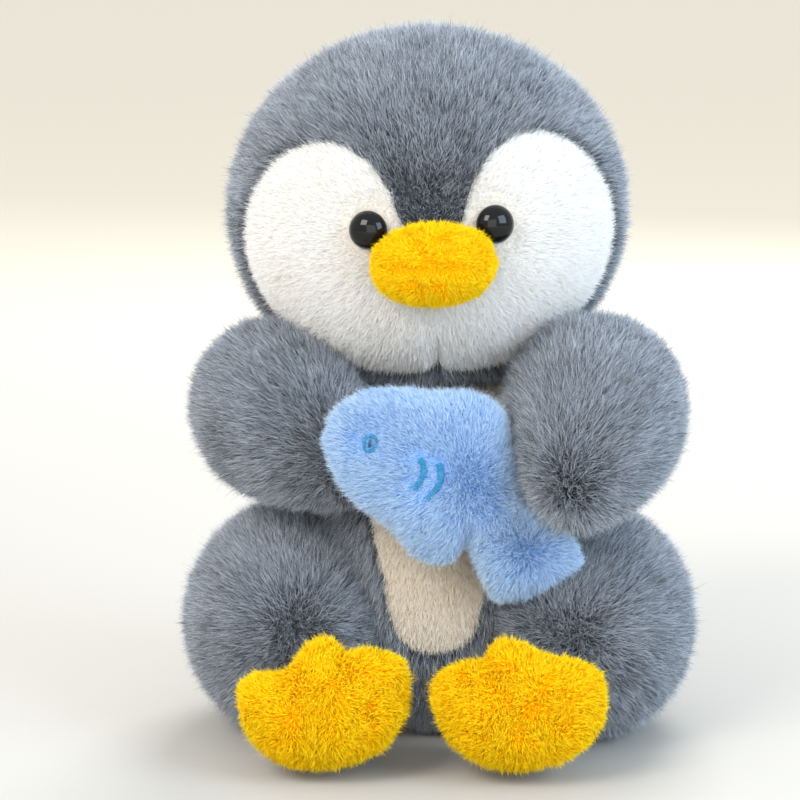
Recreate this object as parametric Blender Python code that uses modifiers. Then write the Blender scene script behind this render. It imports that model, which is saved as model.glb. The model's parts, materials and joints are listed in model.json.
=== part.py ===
"""A sitting plush penguin that hugs a small plush fish.

Metres, +Z up. The penguin faces -Y, so its own left side is +X. The origin is under the
middle of the whole toy, on the surface that it sits on. Every sewn cover is a 2 mm fabric
shell in two or more panels, and every cover is filled by its own separate stuffing.
"""

from math import atan2, copysign, cos, exp, hypot, pi, radians, sin, sqrt

import bmesh
import bpy
from mathutils import Vector

# Fabric and fits
FABRIC = 0.0020
SEAM_GAP = 0.0003
STUFFING_GAP = 0.0010
SEWN_CLEARANCE = 0.0036
SQUEEZE = 0.04
HEAD_ROOM = 0.0050
PILLOW_INSET = 0.0086
INSET_TURN = radians(9.0)
LIMB_INSET = 0.0065
BEAK_INSET = 0.0045

# Where the toy's own middle plane sits in the part's frame
TOY_SHIFT = Vector((0.0, 0.0190, 0.0))

# Head
HEAD_HALF = Vector((0.0823, 0.0735, 0.0742))
HEAD_RISE = 0.0745
NECK_PIVOT = Vector((-0.0025, 0.0030, 0.1485))
HEAD_ROLL = radians(-2.5)
HEAD_YAW = radians(4.0)
NECK_OPENING_ANGLE = radians(15.0)
FACE_CUT_DEPTH = 0.110

# Eyes and beak, in the head's own frame
EYE_SPREAD = 0.0256
EYE_HEIGHT = -0.0010
EYE_RADIUS = 0.0080
EYE_DOME = 0.0062
SHANK_RADIUS = 0.0014
SHANK_LENGTH = 0.0085
WASHER_RADIUS = 0.0065
WASHER_THICKNESS = 0.0012
WASHER_STANDOFF = 0.0020
BEAK_CENTRE = Vector((0.0, -0.0765, -0.0150))
BEAK_HALF = Vector((0.0250, 0.0182, 0.0162))
BEAK_FULLNESS = 2.2

# Torso
TORSO_CENTRE = Vector((0.0, 0.0020, 0.0730))
TORSO_HALF = Vector((0.0570, 0.0600, 0.0745))
HIP_SQUARENESS = 3.0
SHOULDER_SQUARENESS = 2.6
BASE_THICKNESS = 0.0020
BASE_RADIUS = 0.0330
BELLY_CUT_DEPTH = 0.100

# Limbs, on the penguin's own left; the right arm has its own spine
THIGH_CENTRE = Vector((0.0622, -0.0160, 0.0475))
THIGH_HALF = Vector((0.0440, 0.0640, 0.0468))
HIP_PIVOT = Vector((0.0460, 0.0440, 0.0475))
SHOULDER_PIVOT = Vector((0.0440, 0.0120, 0.1350))
ARM_LEFT_SPINE = (
    Vector((0.0520, 0.0080, 0.1420)),
    Vector((0.0810, -0.0440, 0.1600)),
    Vector((0.0540, -0.1020, 0.1110)),
)
ARM_RIGHT_SPINE = (
    Vector((-0.0500, 0.0100, 0.1380)),
    Vector((-0.0960, -0.0300, 0.1540)),
    Vector((-0.0280, -0.0590, 0.1130)),
)
ARM_RADII = (0.0360, 0.0375, 0.0280)

# Feet: a cloud outline with three toes, its sole towards the front
FOOT_CENTRE = Vector((0.0400, -0.1015, 0.0300))
FOOT_HALF_WIDTH = 0.0330
FOOT_HALF_HEIGHT = 0.0235
FOOT_HALF_THICKNESS = 0.0190
FOOT_OUTWARD_SHIFT = {"left": -0.0030, "right": 0.0030}
TOE_ANGLES = (radians(34.0), radians(98.0), radians(152.0))
TOE_SWELL = 0.0084
TOE_WIDTH = radians(18.0)
ANKLE_PIVOT = Vector((0.0400, -0.0830, 0.0300))

# Tail
TAIL_CENTRE = Vector((0.0, 0.0695, 0.0240))
TAIL_HALF = Vector((0.0160, 0.0130, 0.0120))

# Fish, in its own upright plane: nose at -X, back fin at +Z
FISH_CENTRE = Vector((0.0130, -0.0735, 0.1170))
FISH_YAW = radians(9.0)
FISH_HALF_THICKNESS = 0.0145
FISH_OUTLINE = (
    (-0.0575, 0.0195),
    (-0.0525, 0.0315),
    (-0.0440, 0.0378),
    (-0.0172, 0.0380),
    (0.0060, 0.0357),
    (0.0150, 0.0295),
    (0.0175, 0.0185),
    (0.0212, 0.0035),
    (0.0230, -0.0075),
    (0.0270, -0.0130),
    (0.0465, -0.0255),
    (0.0500, -0.0315),
    (0.0455, -0.0372),
    (0.0200, -0.0492),
    (0.0110, -0.0475),
    (0.0070, -0.0345),
    (-0.0005, -0.0200),
    (-0.0050, -0.0300),
    (-0.0125, -0.0327),
    (-0.0212, -0.0278),
    (-0.0320, -0.0155),
    (-0.0475, -0.0030),
    (-0.0540, 0.0085),
)
FISH_EYE_AT = (-0.0400, 0.0198)
FISH_EYE_RADIUS = 0.0024
GILL_FRONT_ROUTE = ((-0.0201, 0.0140), (-0.0184, 0.0070), (-0.0228, 0.0015))
GILL_REAR_ROUTE = ((-0.0126, 0.0120), (-0.0118, 0.0040), (-0.0174, -0.0028))
EMBROIDERY_RADIUS = 0.0010

GREY = (0.17, 0.19, 0.23)
WHITE = (0.80, 0.80, 0.78)
CREAM = (0.74, 0.68, 0.58)
YELLOW = (0.90, 0.52, 0.02)
LIGHT_BLUE = (0.35, 0.55, 0.85)
TEAL = (0.03, 0.28, 0.48)
BLACK = (0.01, 0.01, 0.01)
POLYESTER = (0.85, 0.85, 0.83)
NATURAL_PLASTIC = (0.75, 0.74, 0.68)


# Scene and objects


def clear_scene():
    for obj in list(bpy.data.objects):
        bpy.data.objects.remove(obj, do_unlink=True)


def new_collection(name):
    collection = bpy.data.collections.new(name)
    bpy.context.scene.collection.children.link(collection)
    return collection


def give_material(obj, colour, roughness):
    material = bpy.data.materials.new(obj.name + "_material")
    material.use_nodes = True
    shader = material.node_tree.nodes["Principled BSDF"]
    shader.inputs["Base Color"].default_value = (*colour, 1.0)
    shader.inputs["Roughness"].default_value = roughness
    shader.inputs["Metallic"].default_value = 0.0
    obj.data.materials.append(material)


def pivot(name, toy_position, parent=None):
    empty = bpy.data.objects.new(name, None)
    empty.empty_display_size = 0.02
    PARTS.objects.link(empty)
    start = Vector(parent["toy_position"]) if parent else Vector()
    empty.parent = parent
    empty.location = toy_position - start
    empty["toy_position"] = toy_position
    return empty


def add_part(name, mesh, parent, toy_position, colour, roughness=0.95):
    obj = bpy.data.objects.new(name, mesh)
    PARTS.objects.link(obj)
    obj.parent = parent
    obj.location = toy_position - Vector(parent["toy_position"])
    give_material(obj, colour, roughness)
    mesh.shade_smooth()
    mesh.set_sharp_from_angle(angle=radians(40.0))
    return obj


def add_cutter(name, mesh, parent, toy_position):
    obj = bpy.data.objects.new(name, mesh)
    CUTTERS.objects.link(obj)
    obj.parent = parent
    obj.location = toy_position - Vector(parent["toy_position"])
    obj.hide_render = True
    obj.display_type = "WIRE"
    return obj


# Modifiers


def thicken(obj):
    """Turn the outer surface into a fabric shell that grows inwards."""
    modifier = obj.modifiers.new("fabric", "SOLIDIFY")
    modifier.thickness = FABRIC
    modifier.offset = -1.0


def boolean(obj, cutter, operation):
    modifier = obj.modifiers.new(cutter.name, "BOOLEAN")
    modifier.operation = operation
    modifier.object = cutter
    modifier.solver = "EXACT"


# Soft forms: a sphere whose points are moved to their place by a shape function


def soft_mesh(name, shape, segments, rings, inset=0.0, open_below=None, open_above=None):
    """A sphere shaped by a function; inset moves its surface inwards by that distance."""
    bm = bmesh.new()
    bmesh.ops.create_uvsphere(bm, u_segments=segments, v_segments=rings, radius=1.0)
    cut_away = [
        vertex
        for vertex in bm.verts
        if (open_below is not None and vertex.co.z < open_below)
        or (open_above is not None and vertex.co.z > open_above)
    ]
    for vertex in bm.verts:
        vertex.co = shape(vertex.co.copy())
    bm.normal_update()
    bmesh.ops.recalc_face_normals(bm, faces=bm.faces)
    bm.normal_update()
    moved = [vertex.co - vertex.normal * inset for vertex in bm.verts]
    for vertex, position in zip(bm.verts, moved):
        vertex.co = position
    bmesh.ops.delete(bm, geom=cut_away, context="VERTS")
    mesh = bpy.data.meshes.new(name)
    bm.to_mesh(mesh)
    bm.free()
    return mesh


def trim_below(mesh, height, closed):
    """Cut a mesh off level at a height of its own frame, and close the cut if asked."""
    bm = bmesh.new()
    bm.from_mesh(mesh)
    result = bmesh.ops.bisect_plane(
        bm,
        geom=bm.verts[:] + bm.edges[:] + bm.faces[:],
        plane_co=(0.0, 0.0, height),
        plane_no=(0.0, 0.0, 1.0),
        clear_inner=True,
    )
    if closed:
        edges = [item for item in result["geom_cut"] if isinstance(item, bmesh.types.BMEdge)]
        bmesh.ops.contextual_create(bm, geom=edges)
    bm.to_mesh(mesh)
    bm.free()


def ellipsoid(half):
    def shape(point):
        return Vector((point.x * half.x, point.y * half.y, point.z * half.z))

    return shape


def plump(half, fullness):
    """An ellipsoid whose shoulders are fuller as fullness grows from 2."""

    def shape(point):
        reach = sum(abs(value) ** fullness for value in point) ** (1.0 / fullness)
        return ellipsoid(half)(point / reach)

    return shape


def torso_width(level):
    """The torso's width, as a share, at a height from -1 at its bottom to 1 at its top."""
    power = SHOULDER_SQUARENESS if level > 0.0 else HIP_SQUARENESS
    return max(1.0 - abs(level) ** power, 0.0) ** (1.0 / power)


def torso_shape(point):
    """An egg that stays wide at the shoulders and low down, where the toy sits on it."""
    round_width = hypot(point.x, point.y)
    widen = torso_width(point.z) / round_width if round_width > 0.01 else 1.0
    return Vector(
        (
            point.x * TORSO_HALF.x * widen,
            point.y * TORSO_HALF.y * widen,
            point.z * TORSO_HALF.z,
        )
    )


def squeezed(share):
    """A share under 1, raised to nearly 1, so that what is deeper stays a little deeper."""
    return 1.0 - SQUEEZE * (1.0 - share)


def pressed_by_torso(shape, centre, clearance):
    """The same soft form, pushed sideways out of the torso, with that clearance to it."""

    def pressed(point):
        place = shape(point) + centre - TORSO_CENTRE
        level = place.z / TORSO_HALF.z
        if abs(level) >= 1.0:
            return place + TORSO_CENTRE - centre
        reach_x = TORSO_HALF.x * torso_width(level) + clearance
        reach_y = TORSO_HALF.y * torso_width(level) + clearance
        if abs(place.y) < reach_y:
            side = reach_x * sqrt(1.0 - (place.y / reach_y) ** 2)
            share = place.x / copysign(side, centre.x)
            if share < 1.0:
                place.x = copysign(side * squeezed(share), centre.x)
        return place + TORSO_CENTRE - centre

    return pressed


def pressed_by_head(shape, centre, clearance):
    """The same soft form, squeezed out of the head's room, which has that clearance."""
    head_centre = NECK_PIVOT + Vector((0.0, 0.0, HEAD_RISE))
    room = HEAD_HALF + Vector((clearance, clearance, clearance))

    def pressed(point):
        place = shape(point) + centre - head_centre
        share = Vector((place.x / room.x, place.y / room.y, place.z / room.z)).length
        if share < 1.0:
            place *= squeezed(share) / share
        return place + head_centre - centre

    return pressed


def limb_shape(spine, radii, centre, inset=0.0):
    """A padded limb along a curved spine, with round ends and a radius for each station."""
    start, bend, end = spine
    shortened = 1.0 - 2.0 * inset / (end - start).length
    across = (end - start).cross(Vector((0.0, 0.0, 1.0))).normalized()

    def shape(point):
        along = (point.z * shortened + 1.0) / 2.0
        middle = (
            start * (1.0 - along) ** 2 + bend * 2.0 * along * (1.0 - along) + end * along**2
        )
        tangent = (
            (bend - start) * (2.0 * (1.0 - along)) + (end - bend) * (2.0 * along)
        ).normalized()
        side = (across - tangent * across.dot(tangent)).normalized()
        up = side.cross(tangent)
        radius = (
            radii[0] * (1.0 - along) ** 2
            + radii[1] * 2.0 * along * (1.0 - along)
            + radii[2] * along**2
            - inset
        )
        return middle + (side * point.x + up * point.y) * radius - centre

    return shape


def pillow_shape(outline, half_thickness, inset=0.0):
    """A pillow with its seam in the XZ plane: outline gives the seam's radius by angle.

    An inset pillow also keeps clear of the outline to both sides, as in a narrow tail.
    """

    sides = (-1.0, -0.5, 0.0, 0.5, 1.0) if inset > 0.0 else (0.0,)

    def shape(point):
        angle = atan2(point.y, point.x)
        narrowest = min(outline(angle + side * INSET_TURN) for side in sides)
        reach = hypot(point.x, point.y) * (narrowest - inset)
        depth = point.z * (half_thickness - inset)
        return Vector((reach * cos(angle), depth, reach * sin(angle)))

    return shape


def outline_by_angle(points):
    """The distance from the middle to a smooth closed outline through points, by angle."""
    ordered = sorted((atan2(z, x) % (2.0 * pi), hypot(x, z)) for x, z in points)
    count = len(ordered)

    def station(index):
        angle, reach = ordered[index % count]
        return angle + 2.0 * pi * (index // count), reach

    def outline(angle):
        angle = angle % (2.0 * pi)
        if angle < ordered[0][0]:
            angle += 2.0 * pi
        index = max(i for i in range(count) if station(i)[0] <= angle)
        before, here, there, after = (station(index + step) for step in (-1, 0, 1, 2))
        share = (angle - here[0]) / (there[0] - here[0])
        slope_here = (there[1] - before[1]) / (there[0] - before[0])
        slope_there = (after[1] - here[1]) / (after[0] - here[0])
        span = there[0] - here[0]
        return (
            (2.0 * share**3 - 3.0 * share**2 + 1.0) * here[1]
            + (share**3 - 2.0 * share**2 + share) * slope_here * span
            + (3.0 * share**2 - 2.0 * share**3) * there[1]
            + (share**3 - share**2) * slope_there * span
        )

    return outline


# Cutters


def box_mesh(name, low, high):
    bm = bmesh.new()
    bmesh.ops.create_cube(bm, size=1.0)
    for vertex in bm.verts:
        vertex.co = Vector([(a + b) / 2.0 + c * (b - a) for a, b, c in zip(low, high, vertex.co)])
    mesh = bpy.data.meshes.new(name)
    bm.to_mesh(mesh)
    bm.free()
    return mesh


def half_space(name, parent, toy_position, normal, reach=0.16):
    """A box on the positive side of a seam plane, half a seam gap away from it."""
    mesh = box_mesh(name, (-reach, -reach, SEAM_GAP / 2.0), (reach, reach, reach))
    cutter = add_cutter(name, mesh, parent, toy_position)
    cutter.rotation_mode = "QUATERNION"
    cutter.rotation_quaternion = Vector((0.0, 0.0, 1.0)).rotation_difference(normal)
    return cutter


def smooth_loop(points, steps):
    """Points of a smooth closed curve (Catmull-Rom) through a few outline points."""
    loop = []
    count = len(points)
    for index in range(count):
        p0, p1, p2, p3 = (Vector(points[(index + step) % count]) for step in (-1, 0, 1, 2))
        for step in range(steps):
            t = step / steps
            loop.append(
                p1
                + (p2 - p0) * (t / 2.0)
                + (p0 * 2.0 - p1 * 5.0 + p2 * 4.0 - p3) * (t * t / 2.0)
                + (p1 * 3.0 - p0 - p2 * 3.0 + p3) * (t**3 / 2.0)
            )
    return loop


def grown(loop, distance):
    """The same closed loop, anticlockwise, moved outwards by a distance."""
    result = []
    for index, point in enumerate(loop):
        along = (loop[(index + 1) % len(loop)] - loop[index - 1]).normalized()
        result.append(point + Vector((along.y, -along.x)) * distance)
    return result


def outline_cutter(name, loop, depth, parent, toy_position):
    """An outline in XZ, extruded from the middle plane to the front."""
    bm = bmesh.new()
    vertices = [bm.verts.new((x, 0.0, z)) for x, z in loop]
    face = bm.faces.new(vertices)
    pushed = bmesh.ops.extrude_face_region(bm, geom=[face])
    front = [item for item in pushed["geom"] if isinstance(item, bmesh.types.BMVert)]
    bmesh.ops.translate(bm, verts=front, vec=(0.0, -depth, 0.0))
    bm.normal_update()
    bmesh.ops.recalc_face_normals(bm, faces=bm.faces)
    mesh = bpy.data.meshes.new(name)
    bm.to_mesh(mesh)
    bm.free()
    return add_cutter(name, mesh, parent, toy_position)


def mirrored_outline(right_side):
    """A closed outline from the points of its +X side, from bottom middle to top middle."""
    left_side = [(-x, z) for x, z in reversed(right_side) if x > 0.0]
    return list(right_side) + left_side


FACE_SIDE = (
    (0.0000, -0.0600),
    (0.0060, -0.0632),
    (0.0250, -0.0628),
    (0.0470, -0.0540),
    (0.0640, -0.0395),
    (0.0735, -0.0230),
    (0.0758, -0.0060),
    (0.0715, 0.0115),
    (0.0600, 0.0265),
    (0.0420, 0.0335),
    (0.0265, 0.0275),
    (0.0165, 0.0145),
    (0.0115, 0.0000),
    (0.0065, -0.0120),
)
BELLY_SIDE = (
    (0.0000, -0.0290),
    (0.0120, -0.0280),
    (0.0180, -0.0180),
    (0.0215, 0.0000),
    (0.0270, 0.0250),
    (0.0340, 0.0480),
    (0.0360, 0.0900),
    (0.0100, 0.0950),
)


# Sub-assemblies


def make_head(head_pivot):
    centre = NECK_PIVOT + Vector((0.0, 0.0, HEAD_RISE))
    shape = ellipsoid(HEAD_HALF)
    opening = -cos(NECK_OPENING_ANGLE) - 0.01
    loop = smooth_loop(mirrored_outline(FACE_SIDE), 3)
    face_hole = outline_cutter("cut_face_hole", loop, FACE_CUT_DEPTH, head_pivot, centre)
    face_edge = outline_cutter(
        "cut_face_edge", grown(loop, -SEAM_GAP), FACE_CUT_DEPTH, head_pivot, centre
    )
    for side, sign in (("left", 1.0), ("right", -1.0)):
        half = half_space("cut_head_" + side, head_pivot, centre, Vector((sign, 0.0, 0.0)))
        cover_mesh = soft_mesh("head_cover_" + side, shape, 22, 12, open_below=opening)
        cover = add_part("head_cover_" + side, cover_mesh, head_pivot, centre, GREY)
        thicken(cover)
        boolean(cover, face_hole, "DIFFERENCE")
        boolean(cover, half, "INTERSECT")
        face_mesh = soft_mesh("face_panel_" + side, shape, 22, 12, open_below=opening)
        face = add_part("face_panel_" + side, face_mesh, head_pivot, centre, WHITE)
        thicken(face)
        boolean(face, face_edge, "INTERSECT")
        boolean(face, half, "INTERSECT")
        make_eye(side, sign, face, head_pivot, centre)
    stuffing_mesh = soft_mesh("head_stuffing", shape, 22, 12, inset=FABRIC + STUFFING_GAP)
    trim_below(stuffing_mesh, -HEAD_HALF.z * cos(NECK_OPENING_ANGLE) + 0.0015, closed=True)
    stuffing = add_part("head_stuffing", stuffing_mesh, head_pivot, centre, POLYESTER)
    for cutter in [o for o in CUTTERS.objects if o.name.startswith("cut_eye_pocket")]:
        boolean(stuffing, cutter, "DIFFERENCE")
    make_beak(head_pivot, centre)


def profile_mesh(name, profile):
    """An open or closed line of (radius, height) points, down its outer side."""
    mesh = bpy.data.meshes.new(name)
    mesh.from_pydata(
        [(radius, 0.0, height) for radius, height in profile],
        [(k, k + 1) for k in range(len(profile) - 1)],
        [],
    )
    return mesh


def turn(obj, steps):
    """Spin the object's profile round its own Z axis."""
    modifier = obj.modifiers.new("turned", "SCREW")
    modifier.axis = "Z"
    modifier.angle = 2.0 * pi
    modifier.steps = steps
    modifier.render_steps = steps
    modifier.use_merge_vertices = True
    modifier.merge_threshold = 0.00001


def make_eye(side, sign, face, head_pivot, head_centre):
    """A glossy dome on a shank that passes through the face, with a washer behind it."""
    x = sign * EYE_SPREAD
    z = EYE_HEIGHT
    y = -HEAD_HALF.y * sqrt(1.0 - (x / HEAD_HALF.x) ** 2 - (z / HEAD_HALF.z) ** 2)
    normal = Vector((x / HEAD_HALF.x**2, y / HEAD_HALF.y**2, z / HEAD_HALF.z**2)).normalized()
    tilt = Vector((0.0, 0.0, 1.0)).rotation_difference(normal)
    seat = head_centre + Vector((x, y, z)) + normal * SEAM_GAP
    dome = [
        (EYE_RADIUS * sin(a), EYE_DOME * cos(a))
        for a in (radians(angle) for angle in (0, 22, 44, 66, 84))
    ]
    profile = dome + [
        (EYE_RADIUS * 0.90, 0.0),
        (SHANK_RADIUS, 0.0),
        (SHANK_RADIUS, -SHANK_LENGTH),
        (0.0, -SHANK_LENGTH),
    ]
    eye_mesh = profile_mesh("eye_" + side, profile)
    eye = add_part("eye_" + side, eye_mesh, head_pivot, seat, BLACK, 0.08)
    washer_top = -FABRIC - WASHER_STANDOFF
    washer_bore = SHANK_RADIUS + SEAM_GAP
    ring = [
        (washer_bore, washer_top),
        (WASHER_RADIUS, washer_top),
        (WASHER_RADIUS, washer_top - WASHER_THICKNESS),
        (washer_bore, washer_top - WASHER_THICKNESS),
        (washer_bore, washer_top),
    ]
    washer_mesh = profile_mesh("eye_washer_" + side, ring)
    washer = add_part(
        "eye_washer_" + side, washer_mesh, head_pivot, seat, NATURAL_PLASTIC, 0.5
    )
    hole_profile = [
        (0.0, 0.004),
        (SHANK_RADIUS + SEAM_GAP, 0.004),
        (SHANK_RADIUS + SEAM_GAP, -0.006),
        (0.0, -0.006),
    ]
    hole_mesh = profile_mesh("hole", hole_profile)
    hole = add_cutter("cut_eye_hole_" + side, hole_mesh, head_pivot, seat)
    pocket_profile = [
        (0.0, 0.004),
        (WASHER_RADIUS + 0.0008, 0.004),
        (WASHER_RADIUS + 0.0008, -SHANK_LENGTH - 0.0008),
        (0.0, -SHANK_LENGTH - 0.0008),
    ]
    pocket_mesh = profile_mesh("pocket", pocket_profile)
    pocket = add_cutter("cut_eye_pocket_" + side, pocket_mesh, head_pivot, seat)
    for piece, steps in ((eye, 12), (washer, 12), (hole, 8), (pocket, 10)):
        turn(piece, steps)
        piece.rotation_mode = "QUATERNION"
        piece.rotation_quaternion = tilt
    boolean(face, hole, "DIFFERENCE")


def weld(mesh):
    bm = bmesh.new()
    bm.from_mesh(mesh)
    bmesh.ops.remove_doubles(bm, verts=bm.verts, dist=0.00001)
    bm.normal_update()
    bmesh.ops.recalc_face_normals(bm, faces=bm.faces)
    bm.to_mesh(mesh)
    bm.free()


def make_beak(head_pivot, head_centre):
    """An oval yellow pillow in an upper and a lower panel, sewn on over the face."""
    centre = head_centre + BEAK_CENTRE

    def pressed_beak(inset):
        shape = plump(BEAK_HALF - Vector((inset, inset, inset)), BEAK_FULLNESS)
        return pressed_by_head(shape, centre, SEWN_CLEARANCE + inset)

    shape = pressed_beak(0.0)
    for level, sign in (("upper", 1.0), ("lower", -1.0)):
        half = half_space("cut_beak_" + level, head_pivot, centre, Vector((0.0, 0.0, sign)))
        mesh = soft_mesh("beak_" + level, shape, 14, 8)
        panel = add_part("beak_" + level, mesh, head_pivot, centre, YELLOW)
        thicken(panel)
        boolean(panel, half, "INTERSECT")
    mesh = soft_mesh("beak_stuffing", pressed_beak(BEAK_INSET), 14, 8)
    add_part("beak_stuffing", mesh, head_pivot, centre, POLYESTER)


def make_torso(frame):
    centre = TORSO_CENTRE
    opening = cos(NECK_OPENING_ANGLE) + 0.01
    floor = BASE_THICKNESS + SEAM_GAP - centre.z
    loop = smooth_loop(mirrored_outline(BELLY_SIDE), 2)
    belly_hole = outline_cutter("cut_belly_hole", loop, BELLY_CUT_DEPTH, frame, centre)
    belly_edge = outline_cutter(
        "cut_belly_edge", grown(loop, -SEAM_GAP), BELLY_CUT_DEPTH, frame, centre
    )
    for side, sign in (("left", 1.0), ("right", -1.0)):
        half = half_space("cut_body_" + side, frame, centre, Vector((sign, 0.0, 0.0)))
        mesh = soft_mesh("body_cover_" + side, torso_shape, 18, 12, open_above=opening)
        trim_below(mesh, floor, closed=False)
        cover = add_part("body_cover_" + side, mesh, frame, centre, GREY)
        thicken(cover)
        boolean(cover, belly_hole, "DIFFERENCE")
        boolean(cover, half, "INTERSECT")
    mesh = soft_mesh("belly_panel", torso_shape, 18, 12, open_above=opening)
    trim_below(mesh, floor, closed=False)
    belly = add_part("belly_panel", mesh, frame, centre, CREAM)
    thicken(belly)
    boolean(belly, belly_edge, "INTERSECT")

    mesh = soft_mesh("body_stuffing", torso_shape, 18, 12, inset=FABRIC + STUFFING_GAP)
    trim_below(mesh, floor + 0.0003, closed=True)
    stuffing = add_part("body_stuffing", mesh, frame, centre, POLYESTER)
    top = TORSO_HALF.z * cos(NECK_OPENING_ANGLE) - 0.0010
    lid = add_cutter(
        "cut_body_top",
        box_mesh("lid", (-0.1, -0.1, top), (0.1, 0.1, top + 0.05)),
        frame,
        centre,
    )
    boolean(stuffing, lid, "DIFFERENCE")

    bm = bmesh.new()
    bmesh.ops.create_cone(
        bm,
        cap_ends=True,
        segments=32,
        radius1=BASE_RADIUS,
        radius2=BASE_RADIUS,
        depth=BASE_THICKNESS,
    )
    base_mesh = bpy.data.meshes.new("base_panel")
    bm.to_mesh(base_mesh)
    bm.free()
    base_centre = Vector((centre.x, centre.y, BASE_THICKNESS / 2.0))
    add_part("base_panel", base_mesh, frame, base_centre, GREY)


def make_neck(neck_pivot):
    """The ring of ladder stitches that joins head and body."""
    ring_radius = 0.0130
    thread_radius = 0.0017
    profile = [
        (ring_radius + thread_radius * cos(a), -thread_radius * sin(a))
        for a in (2.0 * pi * k / 6 for k in range(7))
    ]
    seam = add_part("neck_seam", profile_mesh("neck_seam", profile), neck_pivot, NECK_PIVOT, GREY)
    turn(seam, 16)


def make_padded(name, panels, shape, centre, parent, normal, colour, size, filling=None):
    """Two fabric panels either side of a seam plane, and the stuffing between them."""
    segments, rings = size
    for panel_name, sign in zip(panels, (1.0, -1.0)):
        half = half_space("cut_" + panel_name, parent, centre, normal * sign)
        mesh = soft_mesh(panel_name, shape, segments, rings)
        panel = add_part(panel_name, mesh, parent, centre, colour)
        thicken(panel)
        boolean(panel, half, "INTERSECT")
    if filling:
        mesh = soft_mesh(name, filling, segments, rings)
    else:
        mesh = soft_mesh(name, shape, segments, rings, inset=FABRIC + STUFFING_GAP)
    add_part(name, mesh, parent, centre, POLYESTER)


def make_arm(side, spine, pivot_empty):
    start, bend, end = spine
    centre = start * 0.25 + bend * 0.5 + end * 0.25
    outwards = Vector((1.0 if side == "left" else -1.0, -0.25, 0.25)).normalized()
    names = ("arm_" + side + "_outer", "arm_" + side + "_inner")

    def pressed_arm(inset):
        shape = limb_shape(spine, ARM_RADII, centre, inset)
        shape = pressed_by_head(shape, centre, HEAD_ROOM + inset)
        return pressed_by_torso(shape, centre, SEWN_CLEARANCE + inset)

    make_padded(
        "arm_" + side + "_stuffing", names, pressed_arm(0.0), centre, pivot_empty, outwards,
        GREY, (14, 9), pressed_arm(LIMB_INSET),
    )


def make_leg(side, sign, pivot_empty):
    centre = Vector((sign * THIGH_CENTRE.x, THIGH_CENTRE.y, THIGH_CENTRE.z))
    names = ("leg_" + side + "_outer", "leg_" + side + "_inner")

    def pressed_thigh(inset):
        shape = ellipsoid(THIGH_HALF - Vector((inset, inset, inset)))
        return pressed_by_torso(shape, centre, SEWN_CLEARANCE + inset)

    make_padded(
        "leg_" + side + "_stuffing", names, pressed_thigh(0.0), centre, pivot_empty,
        Vector((sign, 0.0, 0.0)), GREY, (14, 9), pressed_thigh(LIMB_INSET),
    )


def foot_outline(sign):
    def outline(angle):
        across = cos(angle) / FOOT_HALF_WIDTH
        upwards = sin(angle) / FOOT_HALF_HEIGHT
        reach = 1.0 / sqrt(across**2 + upwards**2)
        toe_angle = angle if sign > 0.0 else pi - angle
        for toe in TOE_ANGLES:
            away = (toe_angle - toe + pi) % (2.0 * pi) - pi
            reach += TOE_SWELL * exp(-((away / TOE_WIDTH) ** 2))
        return reach

    return outline


def make_foot(side, sign, pivot_empty):
    shift = FOOT_OUTWARD_SHIFT[side]
    centre = Vector((sign * (FOOT_CENTRE.x + shift), FOOT_CENTRE.y, FOOT_CENTRE.z))
    names = ("foot_" + side + "_sole", "foot_" + side + "_upper")
    shape = pillow_shape(foot_outline(sign), FOOT_HALF_THICKNESS)
    filling = pillow_shape(foot_outline(sign), FOOT_HALF_THICKNESS, PILLOW_INSET)
    make_padded(
        "foot_" + side + "_stuffing", names, shape, centre, pivot_empty,
        Vector((0.0, -1.0, 0.0)), YELLOW, (28, 6), filling=filling,
    )


def make_tail(frame):
    shape = ellipsoid(TAIL_HALF)
    make_padded(
        "tail_stuffing", ("tail_upper", "tail_lower"), shape, TAIL_CENTRE, frame,
        Vector((0.0, 0.0, 1.0)), GREY, (12, 8),
    )


def fish_front(x, z):
    """How far the fish's front stands before its seam plane at a point of that plane."""
    reach = hypot(x, z) / outline_by_angle(FISH_OUTLINE)(atan2(z, x))
    return FISH_HALF_THICKNESS * sqrt(max(1.0 - reach**2, 0.0))


def thread_mesh(name, route, closed):
    """A round line of embroidery that lies on the fish's front."""
    lift = EMBROIDERY_RADIUS + SEAM_GAP
    points = [Vector((x, -fish_front(x, z) - lift, z)) for x, z in route]
    curve = bpy.data.curves.new(name, "CURVE")
    curve.dimensions = "3D"
    curve.bevel_depth = EMBROIDERY_RADIUS
    curve.bevel_resolution = 0
    curve.use_fill_caps = True
    spline = curve.splines.new("POLY")
    spline.points.add(len(points) - 1)
    for point, position in zip(spline.points, points):
        point.co = (*position, 1.0)
    spline.use_cyclic_u = closed
    holder = bpy.data.objects.new(name + "_route", curve)
    PARTS.objects.link(holder)
    graph = bpy.context.evaluated_depsgraph_get()
    mesh = bpy.data.meshes.new_from_object(holder.evaluated_get(graph))
    bpy.data.objects.remove(holder)
    weld(mesh)
    return mesh


def smooth_route(points, steps):
    """Points along one smooth arc through three points."""
    first, middle, last = (Vector(point) for point in points)
    control = middle * 2.0 - (first + last) / 2.0
    return [
        first * (1.0 - t) ** 2 + control * 2.0 * t * (1.0 - t) + last * t**2
        for t in (k / steps for k in range(steps + 1))
    ]


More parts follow.
